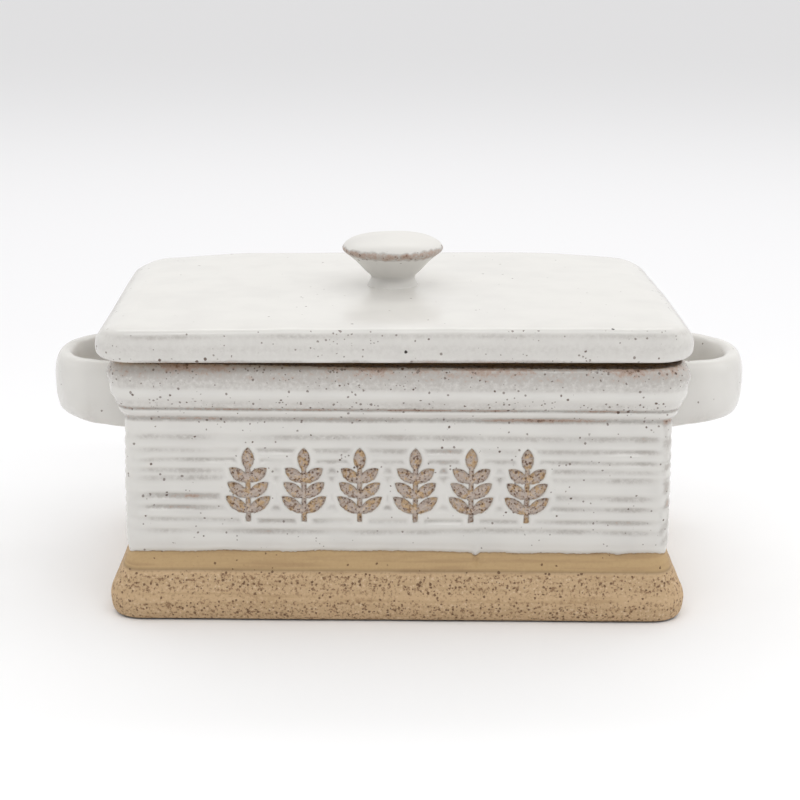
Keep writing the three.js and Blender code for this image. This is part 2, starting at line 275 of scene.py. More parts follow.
class Shader:
    """A short way to write a material's nodes."""

    def __init__(self, name):
        self.material = bpy.data.materials.new(name)
        self.material.use_nodes = True
        self.tree = self.material.node_tree
        self.principled = self.tree.nodes["Principled BSDF"]
        self.position = self.node("ShaderNodeTexCoord").outputs["Object"]

    def node(self, kind, **settings):
        made = self.tree.nodes.new(kind)
        for key, value in settings.items():
            setattr(made, key, value)
        return made

    def put(self, socket, value):
        if isinstance(value, bpy.types.NodeSocket):
            self.tree.links.new(value, socket)
        else:
            socket.default_value = value

    def math(self, operation, first, second=0.0, clamp=False):
        made = self.node("ShaderNodeMath", operation=operation, use_clamp=clamp)
        self.put(made.inputs[0], first)
        self.put(made.inputs[1], second)
        return made.outputs[0]

    def step(self, value, start, end):
        """0 to 1 as value goes from start to end, smoothly."""
        made = self.node("ShaderNodeMapRange", interpolation_type="SMOOTHSTEP")
        self.put(made.inputs["Value"], value)
        self.put(made.inputs["From Min"], start)
        self.put(made.inputs["From Max"], end)
        return made.outputs["Result"]

    def mix(self, factor, first, second):
        made = self.node("ShaderNodeMix", data_type="RGBA")
        self.put(made.inputs["Factor"], factor)
        for index, colour in zip(MIX_COLOURS, (first, second)):
            linked = isinstance(colour, bpy.types.NodeSocket)
            self.put(made.inputs[index], colour if linked else (*colour, 1.0))
        return made.outputs[MIX_RESULT]

    def blend(self, factor, first, second):
        made = self.node("ShaderNodeMix", data_type="FLOAT")
        self.put(made.inputs["Factor"], factor)
        self.put(made.inputs[2], first)
        self.put(made.inputs[3], second)
        return made.outputs[0]

    def field(self, name):
        return self.node("ShaderNodeAttribute", attribute_name=name).outputs["Fac"]

    def noise(self, size_mm, detail=2.0, roughness=0.5):
        """Noise, 0 to 1, whose features are about size_mm across."""
        made = self.node("ShaderNodeTexNoise")
        self.put(made.inputs["Vector"], self.position)
        self.put(made.inputs["Scale"], 1.0 / (size_mm * MM))
        self.put(made.inputs["Detail"], detail)
        self.put(made.inputs["Roughness"], roughness)
        return made.outputs["Fac"]

    def streaks(self):
        """Noise, 0 to 1, drawn out sideways the way a sponge wipes round the foot."""
        squeeze = self.node("ShaderNodeVectorMath", operation="MULTIPLY")
        self.put(squeeze.inputs[0], self.position)
        squeeze.inputs[1].default_value = STREAK_SQUEEZE
        made = self.node("ShaderNodeTexNoise")
        self.put(made.inputs["Vector"], squeeze.outputs[0])
        self.put(made.inputs["Scale"], 1.0 / (STREAK_SIZE * MM))
        self.put(made.inputs["Detail"], 2.0)
        return made.outputs["Fac"]

    def specks(self, cell_mm, smallest_mm, largest_mm, share, place=0.0):
        """Irregular dots, 1 inside and 0 outside. share is how many cells hold one."""
        jitter = self.node("ShaderNodeTexNoise")
        self.put(jitter.inputs["Vector"], self.position)
        self.put(jitter.inputs["Scale"], 1.0 / (SPECK_WARP_SIZE * MM))
        self.put(jitter.inputs["Detail"], 1.0)
        bent = self.node("ShaderNodeVectorMath", operation="MULTIPLY_ADD")
        self.put(bent.inputs[0], jitter.outputs["Color"])
        bent.inputs[1].default_value = (SPECK_WARP * MM,) * 3
        self.put(bent.inputs[2], self.position)
        shift = self.node("ShaderNodeVectorMath", operation="ADD")
        self.put(shift.inputs[0], bent.outputs[0])
        shift.inputs[1].default_value = (place, 1.7 * place, 2.3 * place)
        cells = self.node("ShaderNodeTexVoronoi")
        self.put(cells.inputs["Vector"], shift.outputs[0])
        self.put(cells.inputs["Scale"], 1.0 / (cell_mm * MM))
        chance = self.node("ShaderNodeSeparateColor")
        self.put(chance.inputs[0], cells.outputs["Color"])
        growth = self.math("POWER", chance.outputs["Green"], 2.0)
        radius = self.math("MULTIPLY", growth, (largest_mm - smallest_mm) / cell_mm)
        radius = self.math("ADD", radius, smallest_mm / cell_mm)
        soft = SPECK_SOFT_EDGE / cell_mm
        inside = self.step(self.math("SUBTRACT", radius, cells.outputs["Distance"]), -soft, soft)
        held = self.math("LESS_THAN", chance.outputs["Red"], share)
        return self.math("MULTIPLY", inside, held)


# ---- Materials -----------------------------------------------------------------------------

GLAZE_WHITE = (0.735, 0.720, 0.688)
GLAZE_CLOUD = (0.695, 0.680, 0.652)
GLAZE_GREY = (0.505, 0.480, 0.452)
GLAZE_PINK = (0.440, 0.335, 0.278)
GLAZE_BROWN = (0.215, 0.130, 0.085)
IRON_BROWN = (0.090, 0.046, 0.028)
IRON_BLACK = (0.022, 0.015, 0.012)
CLAY_TAN = (0.590, 0.415, 0.245)
CLAY_YELLOW = (0.490, 0.336, 0.168)
CLAY_DEEP = (0.400, 0.262, 0.136)
CLAY_PALE = (0.750, 0.585, 0.400)
CLAY_PINK = (0.560, 0.475, 0.420)
CLAY_DUST = (0.190, 0.095, 0.045)
CLAY_GRIT = (0.120, 0.055, 0.026)
# Near black: clay at the glaze's edge and the stamp's outlines, and the painted shade on the rim top
# and along the foot's bottom edge.
CLAY_EDGE_AND_SHADE = (0.036, 0.026, 0.022)


def glaze_colour(shader, thin, speck_share):
    """Cloudy white, grey where it is thinner and where shade is painted on, brown where it breaks,
    with iron specks.
    """
    cloud = shader.noise(14.0, 2.0)
    streak = shader.math("SUBTRACT", shader.noise(1.3, 3.0, 0.7), 0.5)
    streak = shader.math("MULTIPLY", streak, shader.step(thin, 0.02, 0.5))
    thinness = shader.math("ADD", thin, streak)
    colour = shader.mix(shader.step(cloud, 0.35, 0.75), GLAZE_WHITE, GLAZE_CLOUD)
    colour = shader.mix(shader.step(thinness, 0.02, 0.50), colour, GLAZE_GREY)
    colour = shader.mix(shader.step(thinness, 0.48, 0.72), colour, GLAZE_PINK)
    colour = shader.mix(shader.step(thinness, 0.74, 0.95), colour, GLAZE_BROWN)

    clump = shader.step(shader.noise(7.0, 2.0), 0.36, 0.66)
    density = shader.math("ADD", shader.field("specks"), speck_share)
    density = shader.math("MULTIPLY", density, shader.math("ADD", clump, 0.15))
    fine = shader.specks(1.05, 0.17, 0.44, shader.math("MULTIPLY", density, 0.28), 0.011)
    medium = shader.specks(2.1, 0.26, 0.50, shader.math("MULTIPLY", density, 0.26), 0.023)
    large = shader.specks(6.5, 0.35, 0.68, shader.math("MULTIPLY", density, 0.16), 0.037)
    colour = shader.mix(shader.math("MULTIPLY", fine, 0.66), colour, IRON_BROWN)
    colour = shader.mix(shader.math("MULTIPLY", medium, 0.88), colour, IRON_BROWN)
    colour = shader.mix(large, colour, IRON_BLACK)
    return colour, thinness, shader.math("MAXIMUM", medium, large)


def clay_colour(shader, grain, edge):
    """Tan clay: yellower where it was sponged smooth, with pale and dark grains elsewhere."""
    colour = shader.mix(shader.step(grain, 0.05, 0.25), CLAY_YELLOW, CLAY_TAN)
    streaks = shader.step(shader.streaks(), 0.42, 0.70)
    streaks = shader.math("MULTIPLY", streaks, shader.blend(grain, 0.75, 0.30))
    colour = shader.mix(streaks, colour, CLAY_DEEP)
    traces = shader.math("ADD", shader.noise(1.9, 3.0, 0.7), shader.field("residue"))
    colour = shader.mix(shader.step(traces, 0.96, 1.10), colour, CLAY_PINK)
    sand = shader.noise(0.85, 2.0, 0.6)
    pale = shader.math("MULTIPLY", shader.step(sand, 0.42, 0.30), grain)
    colour = shader.mix(shader.math("MULTIPLY", pale, 0.60), colour, CLAY_PALE)
    dust = shader.math("MULTIPLY", shader.step(sand, 0.53, 0.65), grain)
    colour = shader.mix(shader.math("MULTIPLY", dust, 0.66), colour, CLAY_DUST)
    grit = shader.specks(1.05, 0.20, 0.46, shader.math("MULTIPLY", grain, 0.48), 0.071)
    colour = shader.mix(shader.math("MULTIPLY", grit, 0.80), colour, CLAY_GRIT)
    # Darker at the glaze's edge and round the stamp, with painted shade on the rim top and along the
    # foot's bottom edge.
    colour = shader.mix(edge, colour, CLAY_EDGE_AND_SHADE)
    return colour, grit


def ceramic_material(name, speck_share, glaze_roughness):
    """Stoneware: bare clay where the field "bare" is over 0, and glaze elsewhere.

    "bare" is a signed distance in millimetres. The thin-glaze field says how thin the glaze is and
    also carries painted shade, laid on as grey;
    "specks" adds iron specks, "grain" roughens the clay, "residue" leaves traces of glaze on it and
    "line" darkens it: painted shade on the rim's top and along the foot's bottom edge, and a thin line
    round the foot."""
    shader = Shader(name)
    wander = shader.math("MULTIPLY", shader.math("SUBTRACT", shader.noise(1.0, 3.0), 0.5), 0.6)
    bare_distance = shader.math("ADD", shader.field("bare"), wander)
    bare = shader.step(bare_distance, -0.10, 0.10)
    grain = shader.field("grain")
    edge = shader.math("MULTIPLY", shader.step(bare_distance, 0.60, 0.05), 0.28)
    edge = shader.math("MAXIMUM", edge, shader.field("line"))

    glaze, thinness, pits = glaze_colour(shader, shader.field("thin"), speck_share)
    clay, holes = clay_colour(shader, grain, edge)
    shader.put(shader.principled.inputs["Base Color"], shader.mix(bare, glaze, clay))

    satin = shader.blend(shader.step(thinness, 0.3, 0.9), glaze_roughness, 0.42)
    satin = shader.math("ADD", satin, shader.math("MULTIPLY", shader.noise(9.0, 1.0), 0.05))
    shader.put(shader.principled.inputs["Roughness"], shader.blend(bare, satin, 0.86))

    # Relief too fine for the mesh: a soft unevenness in the glaze, and grains in the clay.
    peel = shader.math("MULTIPLY", shader.noise(4.0, 1.0), 0.000012)
    glaze_relief = shader.math("SUBTRACT", peel, shader.math("MULTIPLY", pits, 0.00005))
    grains = shader.math("MULTIPLY", shader.noise(0.45, 4.0, 0.7), 0.00020)
    grains = shader.math("MULTIPLY", grains, shader.math("ADD", grain, 0.2))
    clay_relief = shader.math("SUBTRACT", grains, shader.math("MULTIPLY", holes, 0.00012))
    bump = shader.node("ShaderNodeBump")
    bump.inputs["Strength"].default_value = 1.0
    bump.inputs["Distance"].default_value = 1.0
    shader.put(bump.inputs["Height"], shader.blend(bare, glaze_relief, clay_relief))
    shader.put(shader.principled.inputs["Normal"], bump.outputs["Normal"])
    return shader.material


# ---- Stamped sprigs ------------------------------------------------------------------------


def leaf_distance(x, z, base_x, base_z, angle, length, width):
    """About the distance to a leaf's outline, negative inside, and to its middle vein."""
    across = (x - base_x) * math.cos(angle) + (z - base_z) * math.sin(angle)
    along = -(x - base_x) * math.sin(angle) + (z - base_z) * math.cos(angle)
    t = np.clip(along / length, 0.0, 1.0)
    half_width = 0.5 * width * (4.0 * t * (1.0 - t)) ** LEAF_FULLNESS
    beyond = np.maximum(np.maximum(-along, along - length), 0.0)
    distance = np.hypot(np.maximum(np.abs(across) - half_width, 0.0), beyond)
    inside = np.minimum(half_width - np.abs(across), 0.35 * length)
    distance = np.where((inside > 0) & (beyond == 0), -inside, distance)
    return distance, np.hypot(across, beyond)


FAR_AWAY = 99.0


def stamp_distance(x, z):
    """Distance to the nearest stamped outline, and to the nearest leaf vein."""
    distance = np.full(x.shape, FAR_AWAY)
    vein = np.full(x.shape, FAR_AWAY)
    for i in range(SPRIG_COUNT):
        base_x = SPRIG_ROW_OFFSET + (i - (SPRIG_COUNT - 1) / 2) * SPRIG_PITCH
        leaves = [(SPRIG_BOTTOM + SPRIG_HEIGHT - TIP_LEAF_LENGTH, 0.0, TIP_LEAF_LENGTH)]
        for pair in range(LEAF_PAIRS):
            base_z = SPRIG_BOTTOM + FIRST_PAIR_HEIGHT + pair * PAIR_SPACING
            length = LEAF_LENGTH * (1.0 - PAIR_SHRINK * pair)
            leaves += [(base_z, side * LEAF_ANGLE, length) for side in (-1, 1)]
        for base_z, angle, length in leaves:
            edge, middle = leaf_distance(x, z, base_x, base_z, angle, length, LEAF_WIDTH)
            distance = np.minimum(distance, edge)
            vein = np.minimum(vein, middle)
        beyond = np.maximum(np.maximum(SPRIG_BOTTOM - z, z - SPRIG_BOTTOM - STEM_HEIGHT), 0.0)
        stem = np.hypot(np.maximum(np.abs(x - base_x) - STEM_WIDTH / 2, 0.0), beyond)
        inside = STEM_WIDTH / 2 - np.abs(x - base_x)
        stem = np.where((inside > 0) & (beyond == 0), -inside, stem)
        distance = np.minimum(distance, stem)
    return distance, vein


# ---- Vessel --------------------------------------------------------------------------------

# The outside, as (height, offset from the plain wall): first the foot and the crease over it.
FOOT_PROFILE = (
    (0.0, FOOT_FLARE - 3.0),
    (0.3, FOOT_FLARE - 1.9),
    (1.0, FOOT_FLARE - 1.0),
    (2.6, FOOT_FLARE - 0.35),
    (5.8, FOOT_FLARE),
    (7.6, FOOT_FLARE - 0.25),
    (10.0, FOOT_FLARE - 0.95),
    (14.6, FOOT_FLARE - 2.35),
    (15.2, FOOT_FLARE - 2.7),
    (16.6, FOOT_FLARE - 3.1),
    (18.4, FOOT_FLARE - 4.4),
    (19.4, -0.1),
    (20.3, -0.75),
    (21.2, -0.6),
    (23.2, -0.05),
    (24.5, 0.0),
)

# The moulded rim, from the groove and the bead under it to its rounded lip.
CORNICE_PROFILE = (
    (59.4, -0.05),
    (60.2, -0.30),
    (61.0, 0.35),
    (61.9, 1.25),
    (62.6, 1.60),
    (63.2, 1.60),
    (63.55, 1.35),
    (64.2, 2.15),
    (66.2, CORNICE_FLARE - 1.75),
    (67.4, CORNICE_FLARE - 1.0),
    (68.6, CORNICE_FLARE - 0.75),
    (70.2, CORNICE_FLARE - 0.75),
    (71.4, CORNICE_FLARE - 0.45),
    (73.2, CORNICE_FLARE),
    (75.2, CORNICE_FLARE - 0.2),
    (76.6, CORNICE_FLARE - 0.7),
    (77.5, CORNICE_FLARE - 1.4),
    (78.0, CORNICE_FLARE - 2.7),
)


def vessel_levels():
    """Heights of the outside's rings: closest at the glaze line, the stamp and the lip."""
    return spaced(
        0.0, 1.6, 0.2, 18.4, 0.8, 21.8, 0.18, 28.6, 0.5, 52.6, 0.31, 60.0, 0.5, 65.0, 0.26,
        75.6, 0.6, RIM_HEIGHT, 0.24,
    )


def glaze_line(x, y):
    """How far the glaze's lower edge runs above or below its mean height."""
    spot = np.stack([x, y, np.zeros_like(x)], axis=-1)
    line = 0.28 * ripple(spot, 60.0, 11) + 0.12 * ripple(spot, 14.0, 12)
    line = line + 0.05 * ripple(spot, 4.0, 13)
    drips = sum(drop * bell(x, place, width) for place, width, drop in DRIPS)
    return line - np.where(y < 0, drips, 0.0)


def rim_wave(x, y):
    """The lip's dips and rises, which leave a gap under the lid."""
    spot = np.stack([x, y, np.zeros_like(x)], axis=-1)
    front_sag = 0.35 + 0.70 * smoothstep(-66.0, -5.0, x)
    front_sag = front_sag * smoothstep(84.0, 70.0, np.abs(x))
    return 0.05 * ripple(spot, 50.0, 21) - 0.1 - np.where(y < 0, front_sag, 0.1)


def wall_grooves(x, y, z):
    """How deeply the wall is cut. The hand-cut grooves wander, and fade towards the corners."""
    corner_gap = (WALL_HALF_LENGTH - np.abs(x)) + (WALL_HALF_DEPTH - np.abs(y))
    fade = 0.15 + 0.85 * smoothstep(1.0, 9.0, corner_gap)
    spot = np.stack([x, y, np.zeros_like(x)], axis=-1)
    grooves = np.zeros(z.shape[:1] + x.shape)
    for i, height in enumerate(GROOVE_HEIGHTS):
        drift = 0.22 * ripple(spot, 70.0, 100 + i)
        depth = 1.0 + 0.28 * ripple(spot, 26.0, 200 + i)
        width = GROOVE_HALF_WIDTH * (1.0 + 0.15 * math.sin(5.0 * i))
        t = np.clip(np.abs(z - height - drift) / width, 0.0, 1.0)
        grooves += depth * fade * (0.5 + 0.5 * np.cos(math.pi * t))
    return np.clip(grooves, 0.0, 1.5)


def front_stamp(outline, x, z):
    """The stamp's distance fields over the vessel's outside; the other three sides are plain."""
    distance, vein = stamp_distance(x, z)
    on_front = outline.normal_y < -0.999
    return np.where(on_front, distance, FAR_AWAY), vein


def vessel_outside_fields(outline, points, distance, halo, grooves):
    """Where the outside is bare, where its glaze is thin, where shade is painted on and where it is
    speckled.
    """
    x = points[0, :, 0]
    z = points[:, :1, 2]

    # The glaze stops at the foot, in the stamp and on top of the rim, where the lid sits.
    bare = np.maximum(np.maximum(GLAZE_LINE - z, -distance), z - RIM_HEIGHT + 0.35)

    lip = bell(z, RIM_HEIGHT - 0.6, 1.6)
    lip_breaks = np.clip(0.35 + 0.5 * ripple(points, 17.0, 45), 0.0, 1.0)
    under_lip = smoothstep(69.5, 74.6, z)
    crease = bell(z, CREASE_HEIGHT, 0.5)
    under_band = smoothstep(67.6, 65.6, z) * smoothstep(63.0, 63.8, z)
    under_bead = bell(z, UNDER_BEAD_HEIGHT, 0.95)
    patchy = 0.85 + 0.22 * ripple(points, 22.0, 41)
    corner = 4.0 * (outline.normal_x * outline.normal_y) ** 2
    crests = smoothstep(0.5, 0.1, grooves) * smoothstep(21.5, 23.0, z) * smoothstep(63.0, 60.0, z)
    breaks = (0.05 + 0.23 * (x > 0)) * (1.0 + 0.7 * ripple(points, 3.0, 43))
    thin = (
        0.42 * lip * lip_breaks
        + (0.62 * crease + 0.26 * under_band) * patchy
        + 0.58 * under_bead * (0.95 + 0.3 * ripple(points, 34.0, 44))
        # Painted shade: the top of the moulded rim is greyed where the lid overhangs it.
        + 0.47 * under_lip
        # Painted shade: a grey line about 70.6 mm up, where the moulded rim's bulge starts.
        + 0.20 * bell(z, 70.6, 1.2)
        # Painted shade: the cut grooves are greyed, more where they are deeper.
        + 0.38 * grooves * (1.0 - halo) * (0.85 + 0.3 * ripple(points, 18.0, 42))
        + np.maximum(corner * crests * breaks, 0.0)
    )
    specks = 1.6 * lip + 1.3 * under_lip + 0.5 * bell(z, 70.5, 2.0)
    specks = specks + 2.2 * under_band + 0.9 * under_bead

    # A finger wiped along the foot left a smooth ridge between its two speckled bands.
    sponged = 1.0 - 0.72 * bell(z, RIDGE_HEIGHT, 1.3)
    speckled_foot = smoothstep(15.0, 13.6, z) * sponged + 0.10
    # The lowest 0.75 mm of the foot is darkened almost black: a painted contact shadow where it meets
    # the floor. A thin dark line also runs round the foot about 15.2 mm up.
    line = 0.30 * bell(z, 15.2, 0.25) + 0.9 * smoothstep(0.75, 0.3, z)
    # Painted shade: the top 0.6 mm of the rim is darkened to near black, in the gap under the lid.
    line = line + 0.72 * smoothstep(RIM_HEIGHT - 0.6, RIM_HEIGHT - 0.3, z)
    return surface_fields(
        points.shape[:2],
        bare=bare,
        thin=np.clip(thin, 0.0, 1.2),
        specks=specks,
        grain=np.where(z < GLAZE_LINE, speckled_foot, 1.1),
        residue=np.where(z > GLAZE_LINE + 2.0, 0.58, -0.6),
        line=line,
    )


def vessel_outside(outline):
    heights = vessel_levels()
    points = offset_rings(
        outline, WALL_HALF_LENGTH, WALL_HALF_DEPTH, WALL_CORNER_RADIUS, 0.0, heights
    )
    x, y = points[0, :, 0], points[0, :, 1]
    z = heights[:, None]
    grooves = wall_grooves(x, y, z)

    # Pressed leaves, in a patch where the glaze has run smooth around them.
    distance, vein = front_stamp(outline, points[..., 0], points[..., 2])
    halo = smoothstep(HALO_WIDTH, 0.9, distance)
    pressed = smoothstep(0.28, -0.42, distance)
    puddle = 0.16 * bell(distance, 1.0, 0.8)

    profile = smooth_profile(FOOT_PROFILE + CORNICE_PROFILE, z)
    slimmer_ends = 0.55 * smoothstep(8.0, 16.5, z) * smoothstep(21.0, 19.0, z)
    profile = profile * (1.0 - slimmer_ends * outline.normal_x**2)
    line = glaze_line(x, y) - 0.8 * outline.normal_x**2
    above = z - GLAZE_LINE
    roll = np.sqrt(1.0 - (1.0 - np.clip(above / 0.55, 0.0, 1.0)) ** 2)
    coat = GLAZE_THICKNESS * roll + 0.20 * bell(above, 1.1, 0.9) * (above > 0)
    offsets = (
        profile
        + coat * smoothstep(64.0, 24.0, z)
        - GROOVE_DEPTH * grooves * (1.0 - halo)
        - 0.12 * halo
        + puddle
        - pressed * (STAMP_DEPTH + 0.05 * ripple(points, 0.9, 31))
        + pressed * 0.28 * smoothstep(0.55, 0.15, vein)
        - 0.9 * smoothstep(73.5, 77.5, z) * outline.normal_x**2
        + 0.10 * ripple(points, 45.0, 32)
        + 0.035 * ripple(points, 9.0, 33)
    )
    rings = offset_rings(
        outline, WALL_HALF_LENGTH, WALL_HALF_DEPTH, WALL_CORNER_RADIUS, offsets, heights
    )
    follows_line = smoothstep(15.4, 18.5, z) * smoothstep(25.0, 21.5, z)
    rings[..., 2] += follows_line * line
    rings[..., 2] += smoothstep(66.0, RIM_HEIGHT, z) * rim_wave(x, y)
    rings[..., 2] = np.maximum(rings[..., 2], 0.0)
    return rings, vessel_outside_fields(outline, points, distance, halo, grooves)


def vessel_inside(outline):
    """The lip's flat top, the cavity's wall and fillet, and its floor, from outside in."""
    half_x = WALL_HALF_LENGTH - WALL_THICKNESS
    half_y = WALL_HALF_DEPTH - WALL_THICKNESS
    levels = [(2.6, RIM_HEIGHT + 0.02), (1.7, RIM_HEIGHT - 0.03), (0.9, RIM_HEIGHT - 0.3)]
    levels += [(0.3, RIM_HEIGHT - 0.9), (0.05, RIM_HEIGHT - 1.8)]
    wall_heights = np.arange(RIM_HEIGHT - 4.0, FLOOR_THICKNESS + FLOOR_FILLET, -3.0)
    levels += [(0.0, height) for height in wall_heights]
    for angle in np.linspace(math.pi / 2, 0.0, 9):
        levels.append((
            FLOOR_FILLET * (math.sin(angle) - 1.0),
            FLOOR_THICKNESS + FLOOR_FILLET * (1.0 - math.cos(angle)),
        ))
    levels += [(-FLOOR_FILLET - inset, FLOOR_THICKNESS) for inset in (6.0, 14.0, 24.0, 34.0)]
    offsets, heights = np.array(levels).T
    rings = offset_rings(outline, half_x, half_y, CAVITY_CORNER_RADIUS, offsets[:, None], heights)
    x, y = rings[0, :, 0], rings[0, :, 1]
    rings[..., 2] += smoothstep(66.0, RIM_HEIGHT, heights[:, None]) * rim_wave(x, y)
    wall = (heights > FLOOR_THICKNESS + 1.0)[:, None] & (heights < RIM_HEIGHT - 1.0)[:, None]
    rings[..., 0] += np.where(wall, 0.12 * ripple(rings, 30.0, 51), 0.0) * outline.normal_x
    rings[..., 1] += np.where(wall, 0.12 * ripple(rings, 30.0, 51), 0.0) * outline.normal_y
    fields = surface_fields(
        rings.shape[:2],
        bare=np.where((heights > RIM_HEIGHT - 0.6)[:, None], 2.0, -2.0),
        thin=0.45 * bell(rings[..., 2], RIM_HEIGHT - 1.5, 0.8),
        specks=0.3,
    )
    return rings, fields


def vessel_underside(outline):
    insets = np.array([44.0, 30.0, 14.0, 4.0])
    offsets = (FOOT_FLARE - 3.6 - insets)[:, None]
    rings = offset_rings(
        outline, WALL_HALF_LENGTH, WALL_HALF_DEPTH, WALL_CORNER_RADIUS, offsets, np.zeros(len(insets))
    )
    return rings, surface_fields(rings.shape[:2], bare=5.0, grain=0.9, residue=-0.5)


def join_parts(*parts):
    rings = np.concatenate([part_rings for part_rings, _ in parts])
    field_names = parts[0][1]
    fields = {name: np.concatenate([values[name] for _, values in parts]) for name in field_names}
    return rings, fields


def make_vessel(material):
    straight = WALL_HALF_LENGTH - WALL_CORNER_RADIUS
    front = spaced(-straight, STAMP_LEFT, 0.6, STAMP_RIGHT, 0.31, straight, 0.6)
    outline = Outline(straight, WALL_HALF_DEPTH - WALL_CORNER_RADIUS, 1.2, 11, front)
    rings, fields = join_parts(
        vessel_underside(outline), vessel_outside(outline), vessel_inside(outline)
    )
    return piece_from_rings("stoneware_vessel", rings, fields, material)


# ---- Handles -------------------------------------------------------------------------------


def make_handle(name, side, material):
    """A strap swept round a loop. It spreads a little where it is pressed onto the wall."""
    height = strap_high[2] - strap_low[2]
    middle = (strap_high[2] + strap_low[2]) / 2
    reach = strap_high[0] - STRAP_THICKNESS / 2 - WALL_HALF_LENGTH
    half_span = (strap_high[1] - strap_low[1]) / 2 - STRAP_THICKNESS / 2
    lift = 0.6 * side
    turn = np.linspace(-math.pi / 2, math.pi / 2, 97)
    bend = 2 / STRAP_ROUNDNESS
    path_x = WALL_HALF_LENGTH + reach * np.abs(np.cos(turn)) ** bend
    path_y = half_span * np.sign(turn) * np.abs(np.sin(turn)) ** bend
    buried = np.linspace(WALL_HALF_LENGTH - STRAP_BURIED, WALL_HALF_LENGTH - 0.4, 5)
    straight = np.full(len(buried), half_span)
    path_x = np.concatenate([buried, path_x, buried[::-1]])
    path_y = np.concatenate([-straight, path_y, straight])
    along_x = np.gradient(path_x)
    along_y = np.gradient(path_y)
    length = np.hypot(along_x, along_y)
    out_x, out_y = along_y / length, -along_x / length

    around = np.linspace(0, 2 * math.pi, 56, endpoint=False)
    power = 2 / STRAP_FULLNESS
    section_out = np.sign(np.cos(around)) * np.abs(np.cos(around)) ** power * STRAP_THICKNESS / 2
    section_up = np.sign(np.sin(around)) * np.abs(np.sin(around)) ** power * height / 2
    spread = 1.0 + 0.16 * smoothstep(WALL_HALF_LENGTH + 9.0, WALL_HALF_LENGTH, path_x)[:, None]
    out = section_out * spread
    up = section_up * (1.0 + 0.35 * (spread - 1.0))
    x = path_x[:, None] + out_x[:, None] * out
    y = path_y[:, None] + out_y[:, None] * out
    taper = 1.0 - 0.06 * smoothstep(WALL_HALF_LENGTH, WALL_HALF_LENGTH + reach, path_x)[:, None]
    z = middle + lift + up * taper
    rings = np.stack([side * x, y, z], axis=-1)
    rings += 0.16 * ripple(rings, 24.0, 61 + side)[..., None] * np.array([1.0, 1.0, 0.6])
    rings += 0.05 * ripple(rings, 7.0, 65 + side)[..., None]
    if side > 0:
        rings = rings[:, ::-1]
    cloudy = 0.08 + 0.07 * ripple(rings, 14.0, 67 + side)
    fields = surface_fields(rings.shape[:2], thin=np.maximum(cloudy, 0.0))
    return piece_from_rings(name, rings, fields, material)


# ---- Lid -----------------------------------------------------------------------------------

lid_middle_x = (lid_low[0] + lid_high[0]) / 2
LID_HALF_LENGTH = (lid_high[0] - lid_low[0]) / 2
LID_HALF_DEPTH = (lid_high[1] - lid_low[1]) / 2


def settle(rings):
    """Turns lid points from the lid's own middle to how it lies on the rim."""
    x, y, z = np.moveaxis(rings, -1, 0)
    raised = z + lid_low[2] + LID_GAP + math.tan(LID_TILT) * (x + LID_HALF_LENGTH)
    turned_x = x * math.cos(LID_TURN) - y * math.sin(LID_TURN) + lid_middle_x
    turned_y = x * math.sin(LID_TURN) + y * math.cos(LID_TURN)
    return np.stack([turned_x, turned_y, raised], axis=-1)


def lid_top(x, y):
    """The lid's upper surface: a low crown, highest right of its middle."""
    across = np.clip(1.0 - ((x - LID_CROWN_PLACE) / (LID_HALF_LENGTH + 30.0)) ** 2, 0.0, 1.0)
    back = np.clip(1.0 - (y / LID_HALF_DEPTH) ** 2, 0.0, 1.0)
    sagging_corners = smoothstep(44.0, 86.0, np.abs(x)) * smoothstep(-10.0, 58.0, y)
    return LID_CROWN * (0.7 * across + 0.3 * across * back) - 1.6 * sagging_corners


# The slab's edge, as (height, offset): crisper along the front than at the ends.
LID_FRONT_EDGE = (
    (0.0, -1.3),
    (0.3, -0.55),
    (0.9, -0.1),
    (1.3, -0.08),
    (2.7, -0.3),
    (4.2, -0.15),
    (5.3, 0.0),
    (6.6, -0.05),
    (7.6, -0.15),
    (8.2, -0.38),
    (8.85, -0.84),
    (9.2, -1.5),
    (9.45, -2.8),
    (LID_EDGE_THICKNESS, -6.0),
)
LID_END_EDGE = (
    (0.0, -2.2),
    (0.4, -1.1),
    (1.4, -0.25),
    (3.0, 0.0),
    (4.6, -0.15),
    (6.4, -1.0),
    (7.8, -2.5),
    (8.8, -4.6),
    (9.3, -6.4),
    (LID_EDGE_THICKNESS, -8.8),
)


